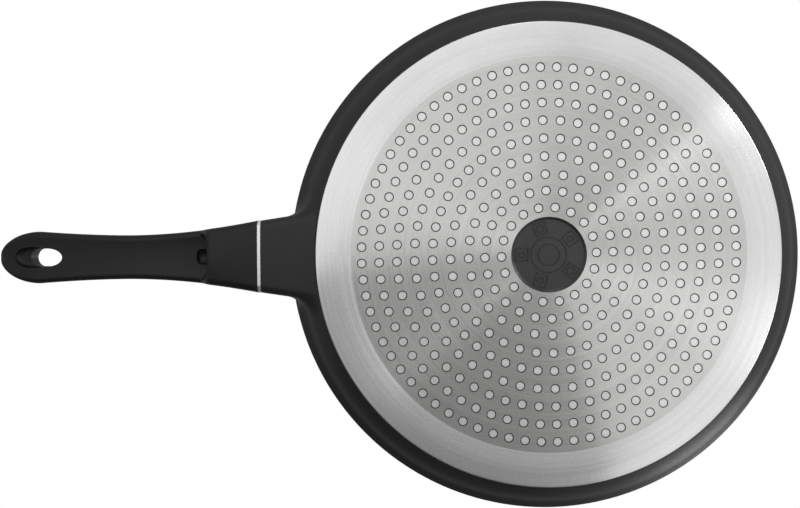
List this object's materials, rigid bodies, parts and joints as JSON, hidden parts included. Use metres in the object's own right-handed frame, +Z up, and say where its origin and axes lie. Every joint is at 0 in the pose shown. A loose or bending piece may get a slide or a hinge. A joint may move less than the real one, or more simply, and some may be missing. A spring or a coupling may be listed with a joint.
{
  "type": "crepe pan",
  "caption": "Low round crepe pan with flared wall, perforated induction base and a screwed, keyed handle with hanging hole.",
  "frame": {"origin": "centre of the pan's base, on the plane that it stands on", "axes": "+Z up out of the pan, the handle along -X, the pan the same on both sides of Y"},
  "size_m": [0.4517, 0.28, 0.0589],
  "materials": {
    "coated_aluminium": "satin black coating on cast aluminium, base ring machined bare",
    "steel_plate": "turned concentric brushing",
    "bright_ring": "satin polished",
    "phenolic": "moulded matt black phenolic",
    "fastener_steel": "zinc plated"
  },
  "bodies": {
    "root": {"pan_body": "coated_aluminium", "induction_plate": "steel_plate", "ferrule_ring": "bright_ring", "handle": "phenolic", "handle_screw": "fastener_steel", "spring_washer": "fastener_steel", "flat_washer": "fastener_steel"}
  },
  "joints": []
}
